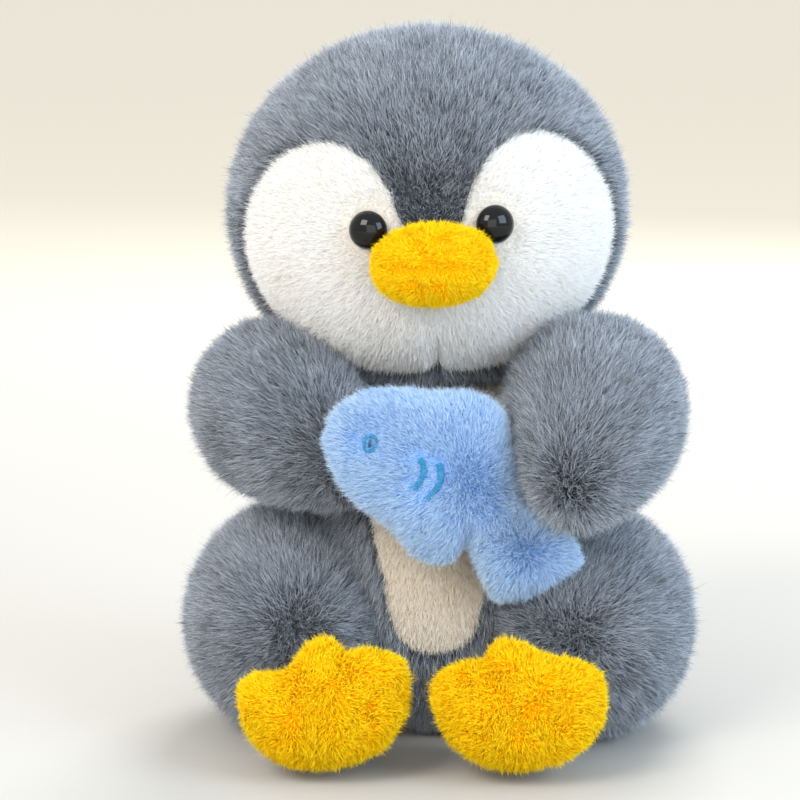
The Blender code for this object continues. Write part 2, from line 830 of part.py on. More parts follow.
def make_fish(frame):
    carrier = pivot("fish_carrier", FISH_CENTRE, frame)
    carrier.rotation_euler = (0.0, 0.0, FISH_YAW)
    outline = outline_by_angle(FISH_OUTLINE)
    shape = pillow_shape(outline, FISH_HALF_THICKNESS)
    filling = pillow_shape(outline, FISH_HALF_THICKNESS, PILLOW_INSET)
    make_padded(
        "fish_stuffing", ("fish_front", "fish_back"), shape, FISH_CENTRE, carrier,
        Vector((0.0, -1.0, 0.0)), LIGHT_BLUE, (64, 6), filling=filling,
    )
    eye_x, eye_z = FISH_EYE_AT
    ring = [
        (eye_x + FISH_EYE_RADIUS * cos(a), eye_z + FISH_EYE_RADIUS * sin(a))
        for a in (2.0 * pi * k / 10 for k in range(10))
    ]
    routes = {
        "fish_eye_embroidery": (ring, True),
        "fish_gill_front": (smooth_route(GILL_FRONT_ROUTE, 5), False),
        "fish_gill_rear": (smooth_route(GILL_REAR_ROUTE, 5), False),
    }
    for name, (route, closed) in routes.items():
        mesh = thread_mesh(name, route, closed)
        add_part(name, mesh, carrier, FISH_CENTRE, TEAL, 0.5)


def main():
    frame = pivot("penguin_frame", Vector())
    frame.location = TOY_SHIFT
    neck_pivot = pivot("neck_pivot", NECK_PIVOT, frame)
    head_pivot = pivot("head_pivot", NECK_PIVOT, neck_pivot)
    head_pivot.rotation_euler = (0.0, HEAD_ROLL, HEAD_YAW)
    make_torso(frame)
    make_neck(neck_pivot)
    make_head(head_pivot)
    make_tail(frame)
    make_fish(frame)
    spines = {"left": ARM_LEFT_SPINE, "right": ARM_RIGHT_SPINE}
    for side, sign in (("left", 1.0), ("right", -1.0)):
        flip = Vector((sign, 1.0, 1.0))
        shoulder = pivot("shoulder_" + side, SHOULDER_PIVOT * flip, frame)
        make_arm(side, spines[side], shoulder)
        hip = pivot("hip_" + side, HIP_PIVOT * flip, frame)
        make_leg(side, sign, hip)
        ankle_at = ANKLE_PIVOT + Vector((FOOT_OUTWARD_SHIFT[side], 0.0, 0.0))
        ankle = pivot("ankle_" + side, ankle_at * flip, hip)
        make_foot(side, sign, ankle)


clear_scene()
PARTS = new_collection("plush_penguin")
CUTTERS = new_collection("cutters")
main()
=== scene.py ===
"""How the plush penguin looks: sewn covers, pile, eyes, stitching, floor, light and camera.

Every padded part starts as the CAD part's own outer surface, is remeshed and blown up as
cloth, and is then cut into the panels that it is sewn from. Each panel grows its own pile.
"""

import json
from math import cos, pi, radians, sin
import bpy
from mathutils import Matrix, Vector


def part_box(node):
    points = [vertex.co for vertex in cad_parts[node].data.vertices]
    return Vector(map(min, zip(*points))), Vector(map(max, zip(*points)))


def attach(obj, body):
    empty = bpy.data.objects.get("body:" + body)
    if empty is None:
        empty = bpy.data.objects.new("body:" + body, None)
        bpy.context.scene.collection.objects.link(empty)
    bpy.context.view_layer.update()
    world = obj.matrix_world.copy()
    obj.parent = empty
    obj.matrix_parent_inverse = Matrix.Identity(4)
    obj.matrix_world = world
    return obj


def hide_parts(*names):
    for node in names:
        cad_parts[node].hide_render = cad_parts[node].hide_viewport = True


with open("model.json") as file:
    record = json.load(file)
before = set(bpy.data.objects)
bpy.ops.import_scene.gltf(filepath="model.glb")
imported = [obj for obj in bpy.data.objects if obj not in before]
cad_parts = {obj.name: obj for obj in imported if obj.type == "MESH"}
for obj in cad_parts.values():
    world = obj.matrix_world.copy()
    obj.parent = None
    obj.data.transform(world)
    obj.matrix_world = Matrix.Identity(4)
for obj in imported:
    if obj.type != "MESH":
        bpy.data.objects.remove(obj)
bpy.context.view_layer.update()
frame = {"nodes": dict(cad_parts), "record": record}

from zlib import crc32

import bmesh
import bpy
import numpy as np
from mathutils import Vector
from mathutils.bvhtree import BVHTree
from mathutils.kdtree import KDTree

MM = 0.001
FLOOR = 0.0
FABRIC = 1.8 * MM
STRANDS_PER_PIECE = 19500
CLOTH_FRAMES = 20
EYE_RADIUS = 8.0 * MM
EYE_DOME = 6.2 * MM
THREAD = 0.36 * MM
ROOT_DEPTH = 0.4 * MM
LEAST_HEIGHT = 0.3 * MM
DOWN = np.array([0.0, 0.0, -1.0])

# Each padded part: its CAD body, voxel size, smoothing rounds, pressure and most swelling
PADS = {
    "head": ("head", 4.5, 14, 4.0, 1.5),
    "body": ("torso", 4.5, 14, 4.0, 1.5),
    "arm_left": ("arm_left", 4.0, 12, 4.0, 2.0),
    "arm_right": ("arm_right", 4.0, 12, 4.0, 2.0),
    "leg_left": ("leg_left", 4.5, 12, 4.0, 2.0),
    "leg_right": ("leg_right", 4.5, 12, 4.0, 2.0),
    "foot_left": ("foot_left", 3.0, 5, 3.0, 1.0),
    "foot_right": ("foot_right", 3.0, 5, 3.0, 1.0),
    "tail": ("torso", 2.5, 6, 3.0, 1.0),
    "beak": ("head", 2.2, 4, 3.0, 1.0),
    "fish": ("torso", 2.5, 4, 3.0, 1.0),
}
PANELS = {
    "head": ("head_cover_left", "head_cover_right", "face_panel_left", "face_panel_right"),
    "body": ("body_cover_left", "body_cover_right", "belly_panel"),
    "tail": ("tail_upper", "tail_lower"),
    "beak": ("beak_upper", "beak_lower"),
    "fish": ("fish_front", "fish_back"),
}
for _side in ("left", "right"):
    PANELS["arm_" + _side] = ("arm_" + _side + "_outer", "arm_" + _side + "_inner")
    PANELS["leg_" + _side] = ("leg_" + _side + "_outer", "leg_" + _side + "_inner")
    PANELS["foot_" + _side] = ("foot_" + _side + "_sole", "foot_" + _side + "_upper")

# Each foot's turn, flatness, and where it is pressed in: angle, depth and width in millimetres
FOOT_SHAPES = {
    "left": (radians(5.0), 0.96, ((radians(34.0), 3.2, 8.0), (radians(130.0), 2.2, 4.0))),
    "right": (radians(11.0), 0.95, ((radians(70.0), 2.2, 4.0), (radians(150.0), 4.0, 9.0))),
}
SLOTS = {row["node"]: row["material_slot"] for row in frame["record"]["subparts"]}


# Small helpers


def seeded(name):
    """A random stream that depends only on the piece's name."""
    return np.random.default_rng(crc32(name.encode()))


def unit(vectors):
    return vectors / np.maximum(np.linalg.norm(vectors, axis=-1, keepdims=True), 1e-12)


def smooth_share(values, low, high):
    """0 at low, 1 at high, and a smooth curve between them."""
    share = np.clip((values - low) / (high - low), 0.0, 1.0)
    return share * share * (3.0 - 2.0 * share)


def ripple(points, size, rng):
    """A soft random pattern from -1 to 1 with waves of about that size."""
    total = np.zeros(len(points))
    for _ in range(6):
        wave = unit(rng.normal(size=3)) * (2.0 * pi / (size * rng.uniform(0.7, 1.5)))
        total += np.sin(points @ wave + rng.uniform(0.0, 2.0 * pi))
    return total / 3.0


def link(obj):
    bpy.context.scene.collection.objects.link(obj)
    return obj


def middle(*nodes):
    """The middle of the box round some CAD nodes."""
    corners = np.array([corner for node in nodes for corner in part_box(node)])
    return (corners.min(axis=0) + corners.max(axis=0)) / 2.0


def distance_to(points, targets, most=0.05):
    """The distance from each point to the nearest target."""
    tree = KDTree(len(targets))
    for index, target in enumerate(targets):
        tree.insert(target, index)
    tree.balance()
    return np.array([min(tree.find(point)[2], most) for point in points])


def mesh_arrays(mesh):
    """A mesh's points, triangles and point normals."""
    mesh.calc_loop_triangles()
    points = np.empty(len(mesh.vertices) * 3, np.float32)
    mesh.vertices.foreach_get("co", points)
    corners = np.empty(len(mesh.loop_triangles) * 3, np.int32)
    mesh.loop_triangles.foreach_get("vertices", corners)
    normals = np.empty(len(mesh.vertices) * 3, np.float32)
    mesh.vertex_normals.foreach_get("vector", normals)
    shaped = (points.reshape(-1, 3), corners.reshape(-1, 3), normals.reshape(-1, 3))
    return shaped[0].astype(float), shaped[1], shaped[2].astype(float)


def evaluated_mesh(obj):
    graph = bpy.context.evaluated_depsgraph_get()
    return bpy.data.meshes.new_from_object(obj.evaluated_get(graph))


def discard(obj):
    bpy.data.objects.remove(obj, do_unlink=True)


# Pads: the filled shapes that the covers lie on


def fused_pad(name):
    """One closed skin round a part's CAD solids, at its voxel size."""
    _, voxel, rounds, _, _ = PADS[name]
    bm = bmesh.new()
    for node in PANELS[name] + (name + "_stuffing",):
        bm.from_mesh(frame["nodes"][node].data)
    mesh = bpy.data.meshes.new(name)
    bm.to_mesh(mesh)
    bm.free()
    obj = link(bpy.data.objects.new(name + "_pad", mesh))
    remesh = obj.modifiers.new("remesh", "REMESH")
    remesh.mode = "VOXEL"
    remesh.voxel_size = voxel * MM
    soften = obj.modifiers.new("soften", "SMOOTH")
    soften.iterations = rounds
    soften.factor = 0.5
    obj.data = evaluated_mesh(obj)
    obj.modifiers.clear()
    return obj


def inflate(pads):
    """Blow every pad up as cloth, all in one run, and cap how far each point may move."""
    for name, obj in pads.items():
        cloth = obj.modifiers.new("cloth", "CLOTH")
        cloth.settings.quality = 4
        cloth.settings.use_pressure = True
        cloth.settings.uniform_pressure_force = PADS[name][3]
        cloth.settings.effector_weights.gravity = 0.0
        cloth.point_cache.frame_start = 1
        cloth.point_cache.frame_end = CLOTH_FRAMES
    for step in range(1, CLOTH_FRAMES + 1):
        bpy.context.scene.frame_set(step)
    for name, obj in pads.items():
        before = mesh_arrays(obj.data)[0]
        swollen = evaluated_mesh(obj)
        moved = mesh_arrays(swollen)[0] - before
        length = np.linalg.norm(moved, axis=1, keepdims=True)
        moved *= np.minimum(1.0, PADS[name][4] * MM / np.maximum(length, 1e-9))
        obj.modifiers.clear()
        obj.data.vertices.foreach_set("co", (before + moved).astype(np.float32).ravel())
        obj.data.update()
    bpy.context.scene.frame_set(1)


def refined(obj):
    """Take out the last ripples and add one subdivision."""
    soften = obj.modifiers.new("soften", "SMOOTH")
    soften.iterations = 4
    soften.factor = 0.5
    finer = obj.modifiers.new("finer", "SUBSURF")
    finer.levels = 1
    finer.render_levels = 1
    obj.data = evaluated_mesh(obj)
    obj.modifiers.clear()


def crease(obj, point, across, depth, width, share_at):
    """Pull the surface in along the plane of a seam; share_at says how much, by point."""
    points, _, normals = mesh_arrays(obj.data)
    away = (points - point) @ across
    pull = depth * np.exp(-((away / width) ** 2)) * share_at(points)
    points -= normals * pull[:, None]
    obj.data.vertices.foreach_set("co", points.astype(np.float32).ravel())
    obj.data.update()


# Panels: the sewn covers, cut from the pads


def panel_of_faces(pad, nodes):
    """For each face of the pad, the index of the CAD panel that it belongs to."""
    vertices, polygons, owner = [], [], []
    for index, node in enumerate(nodes):
        mesh = frame["nodes"][node].data
        start = len(vertices)
        vertices += [vertex.co.copy() for vertex in mesh.vertices]
        polygons += [[start + corner for corner in face.vertices] for face in mesh.polygons]
        owner += [index] * len(mesh.polygons)
    tree = BVHTree.FromPolygons(vertices, polygons)
    return [owner[tree.find_nearest(face.center)[2]] for face in pad.data.polygons]


def cut_panel(pad, node, mine):
    """The pad's faces of one panel, with an even edge, as an open sheet."""
    bm = bmesh.new()
    bm.from_mesh(pad.data)
    bm.faces.ensure_lookup_table()
    others = [face for face, keep in zip(bm.faces, mine) if not keep]
    bmesh.ops.delete(bm, geom=others, context="FACES")
    for _ in range(6):
        edge = [vertex for vertex in bm.verts if vertex.is_boundary]
        evened = []
        for vertex in edge:
            beside = [e.other_vert(vertex).co for e in vertex.link_edges if e.is_boundary]
            if len(beside) == 2:
                evened.append((vertex, vertex.co * 0.5 + (beside[0] + beside[1]) * 0.25))
        for vertex, position in evened:
            vertex.co = position
    mesh = bpy.data.meshes.new(node + "_cloth")
    bm.to_mesh(mesh)
    bm.free()
    mesh.shade_smooth()
    return mesh


def make_panel(sheet, node, body, material):
    """A cover panel with the fabric's thickness, which stands for its CAD node."""
    obj = link(bpy.data.objects.new(node + "_cloth", sheet))
    thick = obj.modifiers.new("fabric", "SOLIDIFY")
    thick.thickness = FABRIC
    thick.offset = -1.0
    obj.data = evaluated_mesh(obj)
    obj.modifiers.clear()
    obj.data.materials.clear()
    obj.data.materials.append(material)
    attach(obj, body)
    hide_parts(node)
    return obj


# Pile: strands that grow from a panel


class Pile:
    """How one kind of plush grows: counts per square millimetre, lengths and widths in
    millimetres, and shares from 0 to 1."""

    def __init__(self, **facts):
        self.__dict__.update(facts)


def scatter(sheet, density, rng, most=None):
    """Random places on a sheet, by area: roots and normals. Density is per square mm."""
    points, triangles, normals = mesh_arrays(sheet)
    a, b, c = (points[triangles[:, k]] for k in range(3))
    area = np.linalg.norm(np.cross(b - a, c - a), axis=1) / 2.0
    count = int(area.sum() / MM**2 * density)
    if most is not None:
        count = min(count, most)
    chosen = rng.choice(len(area), size=count, p=area / area.sum())
    u, v = rng.random(count), rng.random(count)
    over = u + v > 1.0
    u[over], v[over] = 1.0 - u[over], 1.0 - v[over]
    shares = np.stack([1.0 - u - v, u, v], axis=1)[:, :, None]
    roots = (points[triangles[chosen]] * shares).sum(axis=1)
    return roots, unit((normals[triangles[chosen]] * shares).sum(axis=1))


def strand_paths(roots, normals, flow, length, pile, rng, steps):
    """Points along each strand: it leaves with some lift, bends with the flow and clumps.

    A strand stands up where the flow has little length along the surface.
    """
    along = np.linspace(0.0, 1.0, steps + 1)[None, :, None]
    sideways = flow - normals * (flow * normals).sum(axis=1, keepdims=True)
    strength = np.linalg.norm(sideways, axis=1, keepdims=True)
    sideways *= np.minimum(1.5, 1.0 / np.maximum(strength, 1e-9))
    spread = rng.normal(size=roots.shape) * pile.spread
    start = unit(normals * pile.lift + sideways * (1.0 - pile.lift) + spread)
    tip_lift = pile.lift * pile.settle
    more = rng.normal(size=roots.shape) * pile.spread
    end = unit(
        normals * tip_lift + sideways * (1.0 - tip_lift) + spread + more + DOWN * pile.weight
    )
    reach = length[:, None, None]
    paths = roots[:, None, :] - normals[:, None, :] * ROOT_DEPTH
    paths = paths + reach * (
        start[:, None, :] * (along - along**2 / 2.0) + end[:, None, :] * along**2 / 2.0
    )
    if pile.clump > 0.0:
        count = max(3, int(len(roots) * pile.clump_share))
        guides = rng.choice(len(roots), size=count, replace=False)
        tree = KDTree(count)
        for index, guide in enumerate(guides):
            tree.insert(roots[guide], index)
        tree.balance()
        near = guides[[tree.find(root)[1] for root in roots]]
        lead = paths[near] - paths[near][:, :1] + roots[near][:, None, :]
        pull = pile.clump * rng.uniform(0.4, 1.0, (len(roots), 1, 1)) * along**1.5
        paths = paths + (lead - paths) * pull
    paths[:, :, 2] = np.maximum(paths[:, :, 2], FLOOR + LEAST_HEIGHT)
    return paths


def strand_mesh(name, paths, width, tone, rng):
    """Closed three-sided spikes along the paths, with tone and height in the UV layer."""
    count, levels, _ = paths.shape
    rings = levels - 1
    along = unit(paths[:, 1] - paths[:, 0])
    side = unit(np.cross(along, unit(rng.normal(size=along.shape))))
    other = np.cross(along, side)
    height = np.linspace(0.0, 1.0, levels)
    ring_points = []
    for level in range(rings):
        radius = (width / 2.0 * (1.0 - height[level] ** 1.5))[:, None]
        for corner in range(3):
            angle = 2.0 * pi * corner / 3.0
            offset = side * cos(angle) + other * sin(angle)
            ring_points.append(paths[:, level] + offset * radius)
    points = np.stack(ring_points + [paths[:, -1]], axis=1)
    per = points.shape[1]
    faces = [[0, 2, 1]]
    for level in range(rings - 1):
        for corner in range(3):
            a = level * 3 + corner
            b = level * 3 + (corner + 1) % 3
            faces += [[a, b, b + 3], [a, b + 3, a + 3]]
    last = (rings - 1) * 3
    faces += [[last + corner, last + (corner + 1) % 3, per - 1] for corner in range(3)]
    local = np.array(faces)
    corners = (local[None] + per * np.arange(count)[:, None, None]).reshape(-1)
    mesh = bpy.data.meshes.new(name)
    mesh.vertices.add(count * per)
    mesh.vertices.foreach_set("co", points.astype(np.float32).ravel())
    mesh.loops.add(len(corners))
    mesh.loops.foreach_set("vertex_index", corners.astype(np.int32))
    mesh.polygons.add(len(corners) // 3)
    mesh.polygons.foreach_set("loop_start", np.arange(0, len(corners), 3, dtype=np.int32))
    mesh.update(calc_edges=True)
    mesh.shade_smooth()
    layer = mesh.uv_layers.new(name="OFBake")
    rise = np.append(np.repeat(height[:rings], 3), 1.0)
    share = np.stack(
        [np.repeat(tone[:, None], per, axis=1), np.repeat(rise[None], count, axis=0)], axis=2
    )
    share = np.clip(share, 0.01, 0.99).reshape(-1, 2)
    layer.data.foreach_set("uv", share[corners].astype(np.float32).ravel())
    return mesh


def strand_hair(name, paths, width, tone, material, body):
    """The finest fibres between the strands: hair curves that ride with their body."""
    count, levels, _ = paths.shape
    curves = bpy.data.hair_curves.new(name)
    curves.add_curves([levels] * count)
    curves.attributes["position"].data.foreach_set(
        "vector", paths.astype(np.float32).ravel()
    )
    height = np.linspace(0.0, 1.0, levels)
    radius = (width[:, None] / 2.0) * (1.0 - 0.85 * height[None] ** 1.4)
    values = {
        "radius": radius,
        "along": np.repeat(height[None], count, axis=0),
        "tone": np.repeat(tone[:, None], levels, axis=1),
    }
    for key, value in values.items():
        attribute = curves.attributes.get(key) or curves.attributes.new(key, "FLOAT", "POINT")
        attribute.data.foreach_set("value", value.astype(np.float32).ravel())
    curves.materials.append(material)
    obj = link(bpy.data.objects.new(name, curves))
    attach(obj, body)
    return obj


def grow_pile(sheet, node, body, pile, flow_at, trim_at):
    """The strands and fibres of one panel. trim_at gives length, painted shade and light, and keeps, by
    root.
    """
    for kind, density, width, steps in (
        ("pile", pile.strands, pile.strand_width, 2),
        ("fibres", pile.fibres, pile.fibre_width, 4),
    ):
        name = node + "_" + kind
        rng = seeded(name)
        most = STRANDS_PER_PIECE if kind == "pile" else None
        roots, normals = scatter(sheet, density, rng, most)
        scale, shade, keep = trim_at(roots, rng)
        count = len(roots)
        guard = np.where(rng.random(count) < pile.guard, 1.3, 1.0)
        length = pile.length * MM * rng.uniform(0.62, 1.1, count) * scale * guard
        # The trim's shade is painted shade and light, added to each strand's random tone.
        tone = pile.tone + 0.14 * ripple(roots, 24 * MM, seeded(body)) + shade
        tone = np.clip(tone + rng.normal(size=count) * pile.contrast, 0.0, 1.0)
        thick = width * MM * rng.uniform(0.6, 1.2, count) / guard
        roots, normals = roots[keep], normals[keep]
        length, tone, thick = length[keep], tone[keep], thick[keep]
        paths = strand_paths(roots, normals, flow_at(roots, normals), length, pile, rng, steps)
        if kind == "fibres":
            strand_hair(name, paths, thick, tone, PILE_MATERIALS[SLOTS[node]][1], body)
            continue
        mesh = strand_mesh(name, paths, thick, tone, rng)
        mesh.materials.append(PILE_MATERIALS[SLOTS[node]][0])
        obj = link(bpy.data.objects.new(name, mesh))
        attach(obj, body)


# Materials


def new_material(name):
    material = bpy.data.materials.new(name)
    material.use_nodes = True
    tree = material.node_tree
    return material, tree, tree.nodes["Principled BSDF"]


def add_node(tree, kind, **values):
    node = tree.nodes.new("ShaderNode" + kind)
    for key, value in values.items():
        setattr(node, key, value)
    return node


def mix_colours(tree, share, first, second, mode="MIX"):
    """A colour mix node's output; each colour is a tuple or an output."""
    node = add_node(tree, "Mix", data_type="RGBA", blend_type=mode)
    for index, value in ((0, share), (6, first), (7, second)):
        socket = node.inputs[index]
        if isinstance(value, bpy.types.NodeSocket):
            tree.links.new(value, socket)
        elif isinstance(value, tuple):
            socket.default_value = (*value, 1.0)
        else:
            socket.default_value = value
    return node.outputs[2]


def pile_material(name, colours, hair, shine):
    """Dark at the root, lighter along the strand, with each strand's own tone. The dark root is painted
    shade at the foot of the pile; the paler tip is partly the fibre's own colour and partly painted
    light on the strand ends, and it is held back on strands of low tone, which include those in painted
    shade.
    """
    root, dark, light, tip = colours
    material, tree, shader = new_material(name)
    if hair:
        tone = add_node(tree, "Attribute", attribute_name="tone").outputs["Fac"]
        along = add_node(tree, "Attribute", attribute_name="along").outputs["Fac"]
    else:
        layer = add_node(tree, "UVMap", uv_map="OFBake")
        split = add_node(tree, "SeparateXYZ")
        tree.links.new(layer.outputs["UV"], split.inputs[0])
        tone, along = split.outputs["X"], split.outputs["Y"]
    body = mix_colours(tree, tone, dark, light)
    low = add_node(tree, "MapRange", interpolation_type="SMOOTHSTEP")
    low.inputs["From Max"].default_value = 0.65
    tree.links.new(along, low.inputs["Value"])
    # Painted shade: each strand darkens towards its root, deep in the pile.
    lower = mix_colours(tree, low.outputs["Result"], root, body)
    high = add_node(tree, "MapRange", interpolation_type="SMOOTHSTEP")
    high.inputs["From Min"].default_value = 0.55
    tree.links.new(along, high.inputs["Value"])
    # The pale tip, partly painted light, shrinks with a strand's tone, so strands in painted shade keep
    # darker tips.
    tip_by_tone_and_painted_shade = add_node(tree, "MapRange")
    tip_by_tone_and_painted_shade.inputs["To Min"].default_value = 0.25
    tip_by_tone_and_painted_shade.inputs["To Max"].default_value = 0.95
    tree.links.new(tone, tip_by_tone_and_painted_shade.inputs["Value"])
    tip_share = add_node(tree, "Math", operation="MULTIPLY")
    tree.links.new(high.outputs["Result"], tip_share.inputs[0])
    tree.links.new(tip_by_tone_and_painted_shade.outputs["Result"], tip_share.inputs[1])
    colour = mix_colours(tree, tip_share.outputs[0], lower, tip)
    tree.links.new(colour, shader.inputs["Base Color"])
    shader.inputs["Roughness"].default_value = 0.62
    shader.inputs["Specular IOR Level"].default_value = shine
    if hair:
        glow = add_node(tree, "BsdfTranslucent")
        tree.links.new(colour, glow.inputs["Color"])
        blend = add_node(tree, "MixShader")
        blend.inputs[0].default_value = 0.12
        tree.links.new(shader.outputs[0], blend.inputs[1])
        tree.links.new(glow.outputs[0], blend.inputs[2])
        tree.links.new(blend.outputs[0], tree.nodes["Material Output"].inputs["Surface"])
    return material


def cloth_material(name, dark, light):
    """The knitted backing under the pile: fine loops and soft changes of colour."""
    material, tree, shader = new_material(name)
    place = add_node(tree, "TexCoord").outputs["Object"]
    loops = add_node(tree, "TexVoronoi")
    loops.inputs["Scale"].default_value = 900.0
    patches = add_node(tree, "TexNoise")
    patches.inputs["Scale"].default_value = 60.0
    for texture in (loops, patches):
        tree.links.new(place, texture.inputs["Vector"])
    colour = mix_colours(tree, patches.outputs["Fac"], dark, light)
    tree.links.new(colour, shader.inputs["Base Color"])
    bump = add_node(tree, "Bump")
    bump.inputs["Strength"].default_value = 0.5
    bump.inputs["Distance"].default_value = 0.0004
    tree.links.new(loops.outputs["Distance"], bump.inputs["Height"])
    tree.links.new(bump.outputs["Normal"], shader.inputs["Normal"])
    shader.inputs["Roughness"].default_value = 0.95
    shader.inputs["Specular IOR Level"].default_value = 0.1
    return material


def speckled_material(name, dark, light, scale, roughness, relief):
    """A finish with fine irregular fibres or grain, for wads, plastic and thread."""
    material, tree, shader = new_material(name)
    place = add_node(tree, "TexCoord").outputs["Object"]
    grain = add_node(tree, "TexNoise")
    grain.inputs["Scale"].default_value = scale
    grain.inputs["Detail"].default_value = 6.0
    grain.inputs["Distortion"].default_value = 1.5
    tree.links.new(place, grain.inputs["Vector"])
    colour = mix_colours(tree, grain.outputs["Fac"], dark, light)
    tree.links.new(colour, shader.inputs["Base Color"])
    bump = add_node(tree, "Bump")
    bump.inputs["Strength"].default_value = relief
    bump.inputs["Distance"].default_value = 0.0004
    tree.links.new(grain.outputs["Fac"], bump.inputs["Height"])
    tree.links.new(bump.outputs["Normal"], shader.inputs["Normal"])
    shader.inputs["Roughness"].default_value = roughness
    return material


def eye_material():
    """Black moulded plastic, glossy, with the faintest mottle."""
    material = speckled_material(
        "eye_gloss", (0.002, 0.002, 0.002), (0.005, 0.005, 0.005), 300.0, 0.07, 0.0
    )
    material.node_tree.nodes["Principled BSDF"].inputs["Specular IOR Level"].default_value = 0.3
    return material


# Root, dark and light body, and tip colour of each plush (linear light). The root colour is painted
# shade at the foot of the pile, so the yellow's orange root is a painted shadow; strands that painted
# shade pulls down lean to the dark body colour; the tip is partly the fibre's own colour and partly
# painted light.
PLUSH_COLOURS = {
    "grey_plush": ((0.024, 0.027, 0.031), (0.058, 0.066, 0.080), (0.40, 0.44, 0.50), (0.62, 0.67, 0.74)),
    "white_plush": ((0.78, 0.72, 0.64), (0.86, 0.81, 0.74), (0.97, 0.97, 0.96), (0.99, 0.99, 0.99)),
    "cream_plush": ((0.66, 0.54, 0.39), (0.82, 0.70, 0.54), (0.97, 0.90, 0.78), (0.99, 0.95, 0.87)),
    "yellow_plush": ((0.90, 0.40, 0.001), (0.98, 0.54, 0.001), (1.00, 0.69, 0.002), (1.00, 0.82, 0.03)),
    "blue_plush": ((0.15, 0.31, 0.63), (0.21, 0.41, 0.74), (0.47, 0.67, 0.90), (0.74, 0.86, 0.96)),
}
PLUSH_SHINE = {"yellow_plush": 0.04}
PILE_MATERIALS = {
    slot: (
        pile_material(slot + "_strands", colours, False, PLUSH_SHINE.get(slot, 0.25)),
        pile_material(slot + "_fibres", colours, True, PLUSH_SHINE.get(slot, 0.25)),
    )
    for slot, colours in PLUSH_COLOURS.items()
}
# The knitted backing takes each plush's root and dark body colours, the painted shade at the foot of the
# pile.
CLOTH_MATERIALS = {
    slot: cloth_material(slot + "_backing", colours[0], colours[1])
    for slot, colours in PLUSH_COLOURS.items()
}
WAD_MATERIAL = speckled_material(
    "polyester_fibre", (0.72, 0.72, 0.70), (0.92, 0.92, 0.90), 400.0, 0.95, 1.0
)
THREAD_MATERIAL = speckled_material(
    "embroidery_thread", (0.003, 0.13, 0.29), (0.02, 0.30, 0.56), 900.0, 0.42, 0.4
)
SLIT_MATERIAL = speckled_material(
    "dark_thread", (0.004, 0.05, 0.12), (0.01, 0.09, 0.19), 900.0, 0.4, 0.4
)
SEAM_MATERIAL = speckled_material(
    "seam_thread", (0.10, 0.11, 0.13), (0.20, 0.22, 0.25), 900.0, 0.5, 0.4
)
WASHER_MATERIAL = speckled_material(
    "washer_plastic", (0.70, 0.69, 0.63), (0.78, 0.77, 0.71), 120.0, 0.45, 0.2
)
EYE_MATERIAL = eye_material()

LONG = Pile(
    strands=1.0, fibres=4.4, strand_width=0.36, fibre_width=0.20, length=10.5, lift=0.55,
    settle=0.5, spread=0.20, weight=0.10, clump=0.46, clump_share=0.06, tone=0.50, contrast=0.5,
    guard=0.14,
)
VELVET = Pile(
    strands=1.4, fibres=5.5, strand_width=0.32, fibre_width=0.19, length=5.4, lift=0.55,
    settle=0.5, spread=0.2, weight=0.06, clump=0.25, clump_share=0.06, tone=0.84, contrast=0.14,
    guard=0.12,
)
SOFT = Pile(
    strands=1.5, fibres=5.5, strand_width=0.34, fibre_width=0.20, length=6.0, lift=0.54,
    settle=0.5, spread=0.22, weight=0.04, clump=0.35, clump_share=0.05, tone=0.6, contrast=0.3,
    guard=0.14,
)
FUZZY = Pile(
    strands=3.4, fibres=1.4, strand_width=0.66, fibre_width=0.26, length=5.2, lift=0.52,
    settle=0.55, spread=0.34, weight=0.05, clump=0.4, clump_share=0.14, tone=0.62, contrast=0.36,
    guard=0.3,
)
SHORT = Pile(
    strands=4.2, fibres=2.4, strand_width=0.5, fibre_width=0.24, length=4.2, lift=0.5,
    settle=0.55, spread=0.3, weight=0.0, clump=0.3, clump_share=0.12, tone=0.78, contrast=0.24,
    guard=0.12,
)
PILES = {
    "grey_plush": LONG,
    "white_plush": VELVET,
    "cream_plush": VELVET,
    "yellow_plush": FUZZY,
    "blue_plush": SOFT,
}


# Places read from the frame


def node_points(*nodes):
    """The corner points of some CAD nodes."""
    return np.concatenate([mesh_arrays(frame["nodes"][node].data)[0] for node in nodes])


def tip(nodes, direction):
    """The place where some CAD nodes reach furthest in a direction."""
    points = node_points(*nodes)
    height = points @ unit(np.array(direction, float))
    return points[height > height.max() - 4 * MM].mean(axis=0)


def within(node, share):
    """A place in a CAD node's box, as shares of its sides."""
    low, high = (np.array(corner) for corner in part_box(node))
    return low + (high - low) * np.array(share)


def eye_place(side):
    """The axis of a safety eye, from the end of its shank to its dome, and its seat."""
    points = node_points("eye_" + side)
    depth = np.linalg.norm(points - HEAD_MIDDLE, axis=1)
    shank_end = points[depth < depth.min() + 0.5 * MM].mean(axis=0)
    axis = unit(points.mean(axis=0) - shank_end)
    height = ((points - shank_end) @ axis).max()
    return axis, shank_end + axis * (height - EYE_DOME)


HEAD_MIDDLE = middle("head_cover_left", "head_cover_right", "face_panel_left", "face_panel_right")
HEAD_ACROSS = unit(middle("head_cover_left") - middle("head_cover_right"))
BEAK_MIDDLE = middle("beak_upper", "beak_lower")
BEAK_UP = unit(middle("beak_upper") - middle("beak_lower"))
EYES = {side: eye_place(side) for side in ("left", "right")}
FISH_MIDDLES = (within("fish_front", (0.54, 0.5, 0.58)), within("fish_front", (0.79, 0.6, 0.23)))
EMBROIDERY = node_points("fish_eye_embroidery", "fish_gill_front", "fish_gill_rear")


# Which way the pile lies, part by part


def away_from(point, down=0.0, upright=0.0):
    """Out from a point; the pile is upright near it, out to the upright distance."""

    def flow(roots, normals):
        far = smooth_share(np.linalg.norm(roots - point, axis=1), 0.0, upright + 1 * MM)
        return (unit(roots - point) + DOWN * down) * far[:, None]

    return flow


